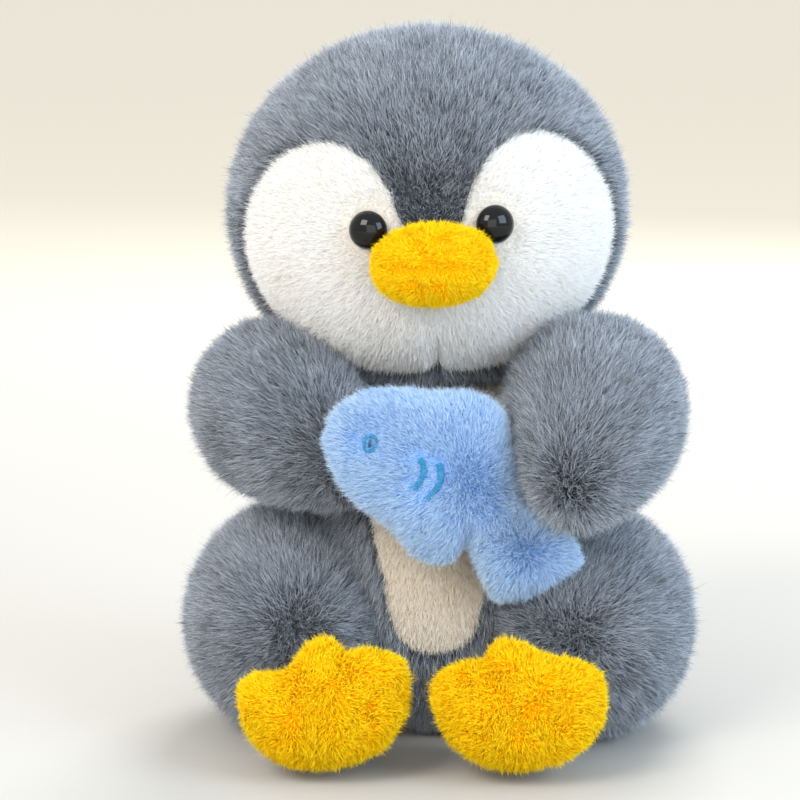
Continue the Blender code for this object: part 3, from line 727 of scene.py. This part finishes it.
def head_flow(roots, normals):
    """Out from the beak over the crown, upright at the brow, and down at the back."""
    behind = smooth_share(roots[:, 1], HEAD_MIDDLE[1], HEAD_MIDDLE[1] + 60 * MM)
    far = smooth_share(np.linalg.norm(roots - BEAK_MIDDLE, axis=1), 18 * MM, 75 * MM)
    flow = unit(roots - BEAK_MIDDLE) * (0.3 + 0.7 * far)[:, None]
    flow = flow + behind[:, None] * DOWN * 1.6
    beside = (roots - BEAK_MIDDLE) @ HEAD_ACROSS
    chin = smooth_share(BEAK_MIDDLE[2] - roots[:, 2], 26 * MM, 44 * MM)
    parting = np.exp(-((beside / (6 * MM)) ** 2)) * np.sign(beside) * chin * (1.0 - behind)
    return flow + parting[:, None] * HEAD_ACROSS * 0.5


def fish_flow(roots, normals):
    """Out from the middle of the fish's body, and out from the middle of its tail."""
    arms = [roots - point for point in FISH_MIDDLES]
    far = [np.linalg.norm(arm, axis=1)[:, None] for arm in arms]
    near = [np.exp(-distance / (12 * MM)) for distance in far]
    flow = (unit(arms[0]) * near[0] + unit(arms[1]) * near[1]) / sum(near)
    return flow * np.minimum(smooth_share(far[0], 0.0, 22 * MM), smooth_share(far[1], 0.0, 13 * MM))


def tousled(point, name, size):
    """Out from a point, with each patch of about that size turned a little its own way."""

    def flow(roots, normals):
        rng = seeded(name)
        turns = np.stack([ripple(roots, size, rng) for _ in range(3)], axis=1)
        return unit(roots - point) + turns * 0.8

    return flow


def flow_for(part, nodes):
    """The flow of one padded part."""
    if part == "head":
        return head_flow
    if part == "fish":
        return fish_flow
    if part == "beak":
        return tousled(BEAK_MIDDLE, part, 8 * MM)
    if part.startswith("foot"):
        return tousled(middle(*nodes), part, 13 * MM)
    if part.startswith("arm"):
        inwards = -np.sign(middle(*nodes)[0])
        return away_from(tip(nodes, (inwards * 1.8, -1.0, -0.8)), 0.15, 36 * MM)
    if part.startswith("leg"):
        inwards = -np.sign(middle(*nodes)[0])
        return away_from(tip(nodes, (inwards * 0.5, -1.0, 0.0)), 0.1, 44 * MM)
    if part == "tail":
        return away_from(middle(*nodes) - np.array([0.0, 20 * MM, 0.0]), 0.2)
    return away_from(middle(*nodes) + np.array([0.0, 0.0, 60 * MM]), 0.8)


# How the pile is trimmed: its length, its painted shade and light, and where there is none, by root


def even_trim(roots, rng):
    """The full length, no painted shade and nothing left bare."""
    return np.ones(len(roots)), np.zeros(len(roots)), np.ones(len(roots), bool)


def head_trim(roots, rng):
    """Short at the brow and longer towards the crown, with painted shade at the brow that fades out
    towards the crown.
    """
    away = np.linalg.norm(roots - BEAK_MIDDLE, axis=1)
    far = smooth_share(away, 18 * MM, 85 * MM)
    from_eye = np.minimum(*(np.linalg.norm(roots - seat, axis=1) for _, seat in EYES.values()))
    scale = 0.42 + 0.58 * far
    scale *= 0.6 + 0.4 * smooth_share(from_eye, 8 * MM, 16 * MM)
    # Painted shade: the tone is pulled down at the brow, where the short upright pile is seen end-on,
    # and fades towards the crown.
    return scale, 0.46 * far - 0.40, (away > 15 * MM) & (from_eye > 8 * MM)


def face_trim(roots, rng):
    """Bare under the eyes and the beak, and short round the eyes, with a ring of painted shade round
    each eye.
    """
    scale, shade, keep = even_trim(roots, rng)
    for _, seat in EYES.values():
        away = np.linalg.norm(roots - seat, axis=1)
        keep &= away > 8.0 * MM
        scale *= 0.55 + 0.45 * smooth_share(away, 9 * MM, 15 * MM)
        # Painted shade: a warm, darker ring round each eye, where the eye sits sunken in the fur.
        shade -= 0.5 * (1.0 - smooth_share(away, 8 * MM, 11.5 * MM))
    away = np.linalg.norm(roots - BEAK_MIDDLE, axis=1)
    return scale, shade, keep & (away > 15 * MM)


def beak_trim(roots, rng):
    """Shorter pile along the beak's mouth seam, with painted shade in its crease."""
    scale, shade, keep = even_trim(roots, rng)
    from_seam = np.abs((roots - BEAK_MIDDLE) @ BEAK_UP)
    front = smooth_share(BEAK_MIDDLE[1] - roots[:, 1], 2 * MM, 12 * MM)
    line = front * (1.0 - smooth_share(from_seam, 0.2 * MM, 2.2 * MM))
    # Painted shade along the mouth crease: a darker orange where the seam is pulled in.
    return scale - 0.3 * line, shade - 0.4 * line, keep


def fish_trim(roots, rng):
    """Short round the embroidery and none on it; painted shade where the pile stands upright round the
    middles of the body and tail, and painted light away from them.
    """
    away = distance_to(roots, EMBROIDERY)
    scale = 0.45 + 0.55 * smooth_share(away, 1.5 * MM, 6 * MM)
    from_body, from_tail = (np.linalg.norm(roots - point, axis=1) for point in FISH_MIDDLES)
    # Painted shade and light: darker where the pile is seen end-on, paler where it lies flat.
    painted_light_share = smooth_share(from_body, 4 * MM, 26 * MM)
    painted_light_share = np.minimum(painted_light_share, smooth_share(from_tail, 0.0, 12 * MM))
    shade = 0.40 * painted_light_share - 0.12
    return scale, shade, away > 0.7 * MM


def body_trim(roots, rng):
    """Longer on the shoulders, where the fur fills in round the neck."""
    scale, shade, keep = even_trim(roots, rng)
    high = smooth_share(roots[:, 2], 125 * MM, 142 * MM)
    return scale + 0.35 * high, shade, keep


def trim_for(part, node):
    """The trim of one panel."""
    if SLOTS[node] == "white_plush":
        return face_trim
    return {"head": head_trim, "beak": beak_trim, "fish": fish_trim, "body": body_trim}.get(
        part, even_trim
    )


# Pieces


def add_piece(name, mesh, material, node, body):
    """A finished piece that stands for a CAD node."""
    mesh.materials.clear()
    mesh.materials.append(material)
    mesh.shade_smooth()
    mesh.set_sharp_from_angle(angle=radians(50.0))
    obj = link(bpy.data.objects.new(name, mesh))
    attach(obj, body)
    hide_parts(node)
    return obj


def lathe(name, profile, seat, axis, steps=56):
    """A round form: a line of (radius, height) points spun round an axis from its seat."""
    bm = bmesh.new()
    line = [bm.verts.new((radius, 0.0, height)) for radius, height in profile]
    edges = [bm.edges.new(pair) for pair in zip(line, line[1:])]
    bmesh.ops.spin(
        bm, geom=line + edges, axis=(0.0, 0.0, 1.0), cent=(0.0, 0.0, 0.0), angle=2.0 * pi,
        steps=steps,
    )
    bmesh.ops.remove_doubles(bm, verts=bm.verts, dist=0.01 * MM)
    bmesh.ops.recalc_face_normals(bm, faces=bm.faces)
    turn = Vector((0.0, 0.0, 1.0)).rotation_difference(Vector(axis)).to_matrix().to_4x4()
    turn.translation = Vector(seat)
    bm.transform(turn)
    mesh = bpy.data.meshes.new(name)
    bm.to_mesh(mesh)
    bm.free()
    return mesh


def make_eyes():
    """Glossy safety eyes: a round dome with a rolled rim, on a shank."""
    rim = 0.55 * MM
    shank = -8.5 * MM
    for side, (axis, seat) in EYES.items():
        dome = [
            (EYE_RADIUS * sin(a) ** 0.94, EYE_DOME * cos(a))
            for a in (pi / 2.0 * k / 14 for k in range(15))
        ]
        under = [(EYE_RADIUS - rim, -rim), (1.5 * MM, -rim), (1.4 * MM, shank), (0.0, shank)]
        node = "eye_" + side
        mesh = lathe(node + "_gloss", dome + under, seat, axis)
        add_piece(node + "_gloss", mesh, EYE_MATERIAL, node, "head")
        washer = frame["nodes"]["eye_washer_" + side]
        washer.data.materials.clear()
        washer.data.materials.append(WASHER_MATERIAL)


def satin(name, middles, across, up, half_width, thread=THREAD):
    """Stitches side by side along a line, each an arched thread across it."""
    arch = ((-1.0, -1.2), (-0.8, 0.0), (-0.4, 0.8), (0.4, 0.8), (0.8, 0.0), (1.0, -1.2))
    curve = bpy.data.curves.new(name, "CURVE")
    curve.dimensions = "3D"
    curve.bevel_depth = thread
    curve.bevel_resolution = 1
    curve.use_fill_caps = True
    for centre, side, top in zip(middles, across, up):
        spline = curve.splines.new("POLY")
        spline.points.add(len(arch) - 1)
        for point, (share, rise) in zip(spline.points, arch):
            place = centre + side * share * half_width + top * rise * thread
            point.co = (*place, 1.0)
    holder = link(bpy.data.objects.new(name, curve))
    mesh = evaluated_mesh(holder)
    discard(holder)
    bm = bmesh.new()
    bm.from_mesh(mesh)
    bmesh.ops.remove_doubles(bm, verts=bm.verts, dist=0.002 * MM)
    bmesh.ops.recalc_face_normals(bm, faces=bm.faces)
    bm.to_mesh(mesh)
    bm.free()
    return mesh


def laid_on(skin, line, lift):
    """Places of a line moved onto a skin, and the skin's normals there."""
    nearest = [skin.find_nearest(Vector(point)) for point in line]
    normals = np.array([hit[1] for hit in nearest])
    return np.array([hit[0] for hit in nearest]) + normals * lift, normals


def make_gill(node, skin):
    """A curved band of satin stitches along the CAD gill, with uneven edges."""
    points = node_points(node)
    x_by_height, y_by_height = (np.polyfit(points[:, 2], points[:, k], 2) for k in (0, 1))
    low, high = points[:, 2].min() + 0.8 * MM, points[:, 2].max() - 0.8 * MM
    levels = np.linspace(low, high, int((high - low) / (1.95 * THREAD)))
    line = np.stack(
        [np.polyval(x_by_height, levels), np.polyval(y_by_height, levels), levels], axis=1
    )
    along = unit(np.gradient(line, axis=0))
    line, out = laid_on(skin, line, 0.9 * MM)
    ragged = seeded(node).uniform(0.75, 1.25, (len(line), 1))
    across = unit(np.cross(along, out)) * ragged
    mesh = satin(node + "_satin", line, across, out, 1.1 * MM)
    add_piece(node + "_satin", mesh, THREAD_MATERIAL, node, "torso")


def make_fish_eye(node, skin):
    """An oval ring of satin stitches with a slit inside it."""
    centres, normals = laid_on(skin, [middle(node)], 0.8 * MM)
    centre, out = centres[0], normals[0]
    upright = unit(np.array([0.0, 0.0, 1.0]) - out * out[2])
    sideways = np.cross(upright, out)
    tilt = radians(15.0)
    long_way = upright * cos(tilt) + sideways * sin(tilt)
    short_way = sideways * cos(tilt) - upright * sin(tilt)
    turns = np.linspace(0.0, 2.0 * pi, 26, endpoint=False)
    radial = [unit(short_way * cos(a) + long_way * sin(a)) for a in turns]
    ring = [centre + short_way * cos(a) * 2.5 * MM + long_way * sin(a) * 3.2 * MM for a in turns]
    mesh = satin(node + "_satin", ring, radial, [out] * len(turns), 0.6 * MM, 0.28 * MM)
    add_piece(node + "_satin", mesh, THREAD_MATERIAL, node, "torso")
    bars = [centre + short_way * share * MM for share in (-0.4, 0.0, 0.4)]
    slit = satin(node + "_slit", bars, [long_way] * len(bars), [out] * len(bars), 1.5 * MM, 0.26 * MM)
    add_piece(node + "_slit", slit, SLIT_MATERIAL, node, "torso")


def make_neck_seam():
    """Slanting ladder stitches round the neck, between the head and the body."""
    centre = middle("neck_seam")
    low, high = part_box("neck_seam")
    radius = (high[0] - low[0]) / 2.0 - 1.4 * MM
    turns = np.linspace(0.0, 2.0 * pi, 36, endpoint=False)
    out = [np.array([cos(a), sin(a), 0.0]) for a in turns]
    slant = [unit(np.array([-sin(a) * 0.5, cos(a) * 0.5, 1.0])) for a in turns]
    ring = [centre + direction * radius for direction in out]
    mesh = satin("neck_seam_stitches", ring, slant, out, 1.3 * MM, 0.6 * MM)
    add_piece("neck_seam_stitches", mesh, SEAM_MATERIAL, "neck_seam", "neck")


def make_base():
    """The round panel under the body, with a rolled hem and a sewn groove inside it."""
    low, high = (np.array(corner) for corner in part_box("base_panel"))
    radius = (high[0] - low[0]) / 2.0
    thick = high[2] - low[2]
    hem = [
        (radius - thick * (0.5 - 0.5 * sin(a)), thick * (0.5 + 0.5 * cos(a)))
        for a in (pi * k / 8 for k in range(9))
    ]
    groove = [(radius - 5 * MM, thick), (radius - 4.2 * MM, thick * 0.6), (radius - 3.4 * MM, thick)]
    profile = [(0.0, thick), (radius * 0.5, thick)] + groove + hem + [(0.0, 0.0)]
    seat = np.array([(low[0] + high[0]) / 2.0, (low[1] + high[1]) / 2.0, low[2]])
    mesh = lathe("base_panel_cloth", profile, seat, (0.0, 0.0, 1.0), 72)
    # The base panel uses the grey backing, whose colours are the pile's painted root shade.
    add_piece("base_panel_cloth", mesh, CLOTH_MATERIALS["grey_plush"], "base_panel", "torso")


def make_wad(part, pad):
    """The polyester filling of one part: a lumpy closed wad inside its cover."""
    node = part + "_stuffing"
    obj = link(bpy.data.objects.new(node + "_wad", frame["nodes"][node].data.copy()))
    remesh = obj.modifiers.new("remesh", "REMESH")
    remesh.mode = "VOXEL"
    remesh.voxel_size = (2.0 if part in ("beak", "tail", "fish") else 3.0) * MM
    soften = obj.modifiers.new("soften", "SMOOTH")
    soften.iterations = 8
    mesh = evaluated_mesh(obj)
    discard(obj)
    points, _, normals = mesh_arrays(mesh)
    lumps = 0.5 + 0.5 * ripple(points, 11 * MM, seeded(node))
    points -= normals * (1.0 * MM + 0.9 * MM * lumps)[:, None]
    cover = BVHTree.FromObject(pad, bpy.context.evaluated_depsgraph_get())
    inside = FABRIC + 0.4 * MM
    for index, point in enumerate(points):
        place, normal, _, _ = cover.find_nearest(point)
        if (Vector(point) - place).dot(normal) > -inside:
            points[index] = place - normal * inside
    mesh.vertices.foreach_set("co", points.astype(np.float32).ravel())
    mesh.update()
    obj = add_piece(node + "_wad", mesh, WAD_MATERIAL, node, PADS[part][0])


def shape_foot(pad, foot, side):
    """Turn a foot a little, flatten it, and press in the notches beside its middle toe."""
    turn, flatness, presses = FOOT_SHAPES[side]
    points = mesh_arrays(pad.data)[0] - foot
    turned = points.copy()
    turned[:, 0] = points[:, 0] * cos(turn) - points[:, 2] * sin(turn)
    turned[:, 2] = points[:, 0] * sin(turn) + points[:, 2] * cos(turn)
    turned += foot
    turned[:, 2] = np.maximum(FLOOR + 0.2 * MM, turned[:, 2] * flatness)
    pad.data.vertices.foreach_set("co", turned.astype(np.float32).ravel())
    pad.data.update()
    for angle, depth, width in presses:
        outwards = np.array([cos(angle), 0.0, sin(angle)])
        across = np.array([-sin(angle), 0.0, cos(angle)])

        def towards_toes(points, outwards=outwards):
            return smooth_share((points - foot) @ outwards, 6 * MM, 20 * MM)

        crease(pad, foot, across, depth * MM, width * MM, towards_toes)


def sew_creases(pads):
    """The shape of the toes, the notch of the chin's seam, and the mouth."""

    def at_chin(points):
        front = smooth_share(-points[:, 1], 0.0, 30 * MM)
        return front * smooth_share(BEAK_MIDDLE[2] - points[:, 2], 26 * MM, 44 * MM)

    def at_mouth(points):
        return smooth_share(BEAK_MIDDLE[1] - points[:, 1], 0.0, 12 * MM)

    for side in FOOT_SHAPES:
        name = "foot_" + side
        shape_foot(pads[name], middle(*PANELS[name]), side)
    crease(pads["head"], BEAK_MIDDLE, HEAD_ACROSS, 2.0 * MM, 3.6 * MM, at_chin)
    crease(pads["beak"], BEAK_MIDDLE, BEAK_UP, 0.8 * MM, 1.6 * MM, at_mouth)


def main():
    pads = {part: fused_pad(part) for part in PADS}
    inflate(pads)
    for pad in pads.values():
        refined(pad)
    sew_creases(pads)
    for part, pad in pads.items():
        body = PADS[part][0]
        nodes = PANELS[part]
        owner = np.array(panel_of_faces(pad, nodes))
        flow = flow_for(part, nodes)
        for index, node in enumerate(nodes):
            sheet = cut_panel(pad, node, owner == index)
            pile = SHORT if part == "beak" else PILES[SLOTS[node]]
            grow_pile(sheet, node, body, pile, flow, trim_for(part, node))
            make_panel(sheet, node, body, CLOTH_MATERIALS[SLOTS[node]])
        make_wad(part, pad)
    fish_skin = BVHTree.FromObject(pads["fish"], bpy.context.evaluated_depsgraph_get())
    make_gill("fish_gill_front", fish_skin)
    make_gill("fish_gill_rear", fish_skin)
    make_fish_eye("fish_eye_embroidery", fish_skin)
    for pad in pads.values():
        discard(pad)
    make_eyes()
    make_neck_seam()
    make_base()


def make_stage():
    """A wide matt floor under a soft sky and four area lights. It is painted darker near the toy, where
    the lamps are brightest, and paler and warmer further out: painted shade and painted light that even
    out the lamps' fall-off.
    """
    size = 60.0
    bpy.ops.mesh.primitive_plane_add(size=size, location=(0.0, 0.0, FLOOR - 0.0002))
    floor = bpy.context.object
    floor.name = "studio_floor"
    material, tree, shader = new_material("studio_floor")
    shader.inputs["Roughness"].default_value = 0.9
    place = add_node(tree, "TexCoord")
    reach = add_node(tree, "VectorMath", operation="LENGTH")
    tree.links.new(place.outputs["Object"], reach.inputs[0])
    outer = add_node(tree, "MapRange", interpolation_type="SMOOTHSTEP")
    outer.inputs["From Min"].default_value = 0.5
    outer.inputs["From Max"].default_value = 2.5
    tree.links.new(reach.outputs["Value"], outer.inputs["Value"])
    # Painted shade near the toy and painted light further out, against the lamps' fall-off.
    colour = mix_colours(tree, outer.outputs["Result"], (0.50, 0.48, 0.44), (0.90, 0.82, 0.66))
    tree.links.new(colour, shader.inputs["Base Color"])
    floor.data.materials.append(material)
    world = bpy.context.scene.world or bpy.data.worlds.new("studio")
    bpy.context.scene.world = world
    world.use_nodes = True
    sky = world.node_tree.nodes.get("Background")
    sky.inputs["Color"].default_value = (0.91, 0.94, 0.98, 1.0)
    sky.inputs["Strength"].default_value = 1.0
    lights = {
        "key_light": ((-0.9, -1.3, 1.3), 0.9, 27.0, (1.0, 0.97, 0.92)),
        "fill_light": ((1.3, -0.9, 0.8), 1.0, 23.0, (0.58, 0.79, 1.0)),
        "low_light": ((0.1, -1.5, 0.25), 1.2, 8.0, (1.0, 0.98, 0.95)),
        "rim_light": ((0.3, 1.3, 1.2), 0.9, 22.0, (1.0, 1.0, 1.0)),
    }
    for name, (place, width, power, colour) in lights.items():
        light = bpy.data.lights.new(name, "AREA")
        light.size = width
        light.energy = power
        light.color = colour
        obj = link(bpy.data.objects.new(name, light))
        obj.location = place
        towards = Vector((0.0, 0.0, 0.14)) - obj.location
        obj.rotation_euler = towards.to_track_quat("-Z", "Y").to_euler()


def make_camera():
    """A long lens in front of the toy, a little above it and to its left."""
    target = Vector((0.0, 0.0190, 0.1396))
    distance = 1.2
    elevation = radians(9.5)
    azimuth = radians(2.5)
    back = Vector((sin(azimuth) * cos(elevation), -cos(azimuth) * cos(elevation), sin(elevation)))
    data = bpy.data.cameras.new("camera")
    data.sensor_width = 36.0
    data.lens = 124.2
    data.shift_x = -0.051
    camera = link(bpy.data.objects.new("camera", data))
    camera.location = target + back * distance
    camera.rotation_euler = (-back).to_track_quat("-Z", "Y").to_euler()
    bpy.context.scene.camera = camera


main()
make_stage()
make_camera()
bpy.context.scene.view_settings.view_transform = "Standard"
